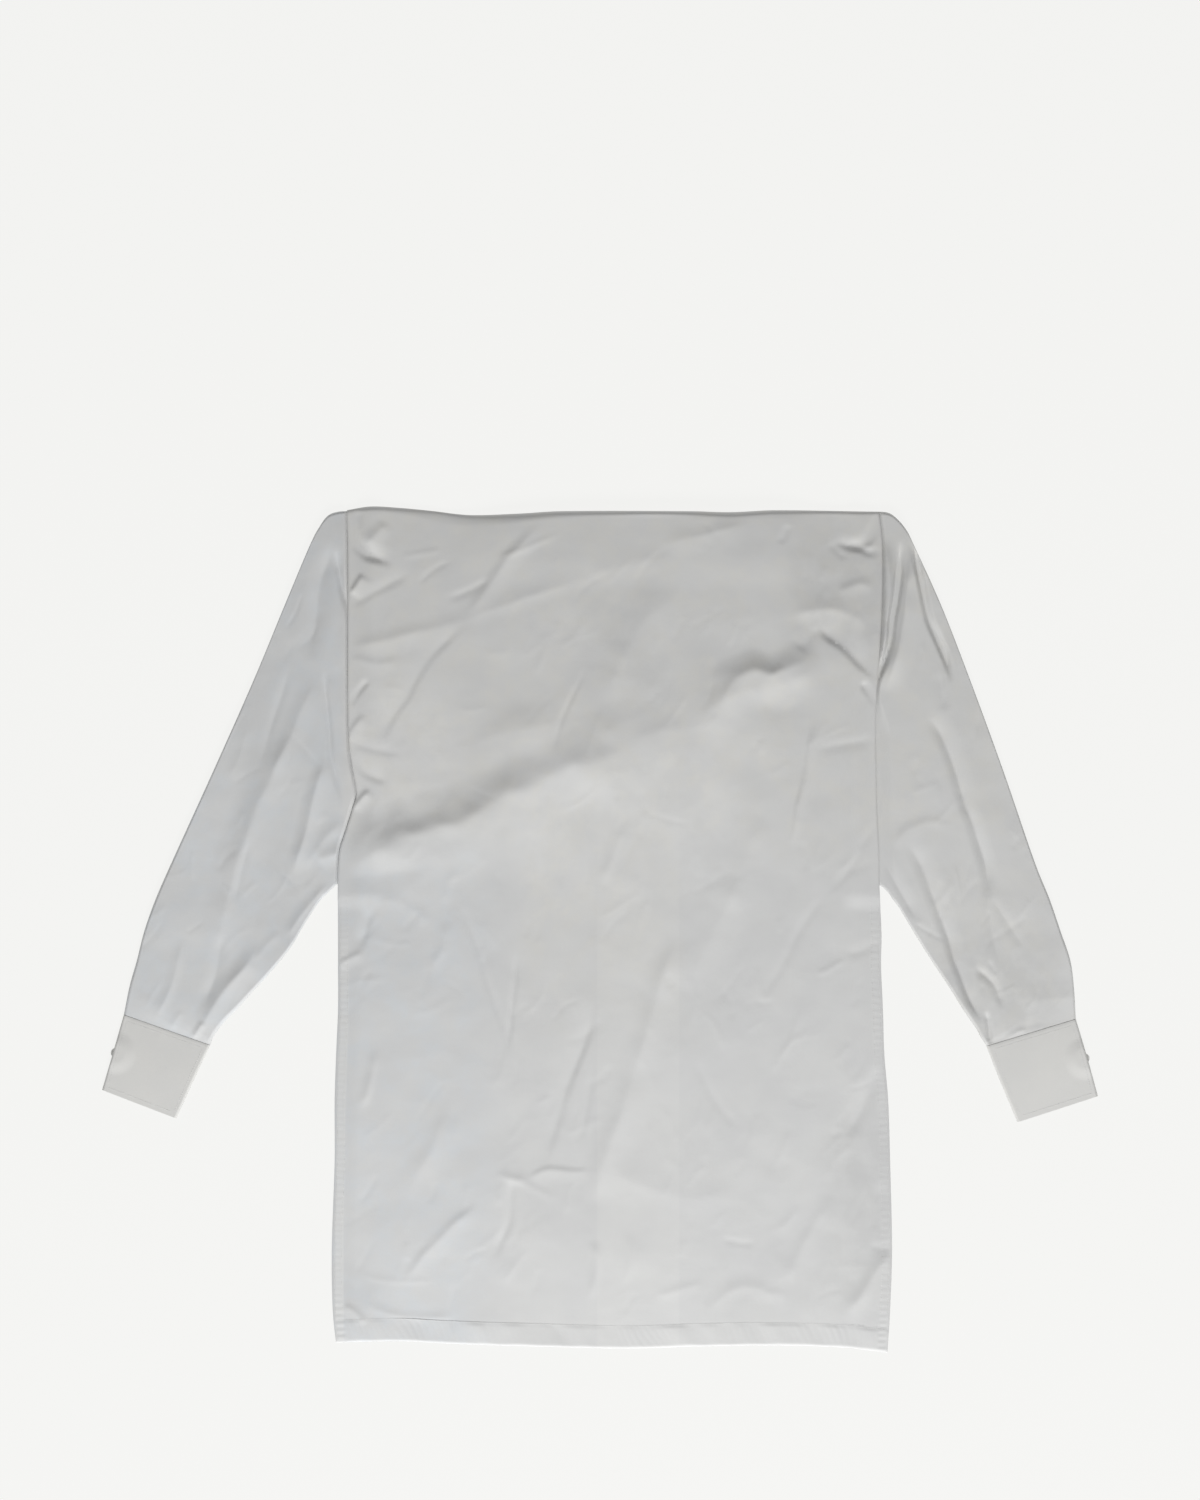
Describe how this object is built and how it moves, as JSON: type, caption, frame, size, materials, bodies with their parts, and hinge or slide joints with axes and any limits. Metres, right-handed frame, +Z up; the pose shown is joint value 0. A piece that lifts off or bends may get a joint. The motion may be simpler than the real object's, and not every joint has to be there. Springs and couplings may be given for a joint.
{
  "type": "button-down shirt",
  "caption": "Long-sleeved white cotton shirt laid flat on its front, back panel up, with soft creases, a straight hem, angled sleeves and deep single cuffs.",
  "frame": {"origin": "middle of the shirt's outline on the surface that it lies on", "axes": "+X to the right of the shirt as it lies, seen from above, +Y towards the folded top edge, +Z up, away from the surface"},
  "size_m": [1.045, 0.8881, 0.0143],
  "materials": {
    "poplin": "fine plain-weave cotton, washed and creased",
    "stiffened_poplin": "two layers of cotton round a light stiffener, smooth",
    "button_plastic": "off-white, soft sheen"
  },
  "bodies": {
    "root": {"back": "poplin", "front_left": "poplin", "front_right": "poplin", "placket": "stiffened_poplin", "yoke": "poplin", "collar_stand": "stiffened_poplin", "collar_leaf": "stiffened_poplin", "sleeve_left": "poplin", "sleeve_right": "poplin", "cuff_left": "stiffened_poplin", "cuff_right": "stiffened_poplin", "button_1": "button_plastic", "button_2": "button_plastic", "button_3": "button_plastic", "button_4": "button_plastic", "button_5": "button_plastic", "button_6": "button_plastic", "button_7": "button_plastic", "collar_button": "button_plastic", "cuff_button_left": "button_plastic", "cuff_button_right": "button_plastic"}
  },
  "joints": []
}
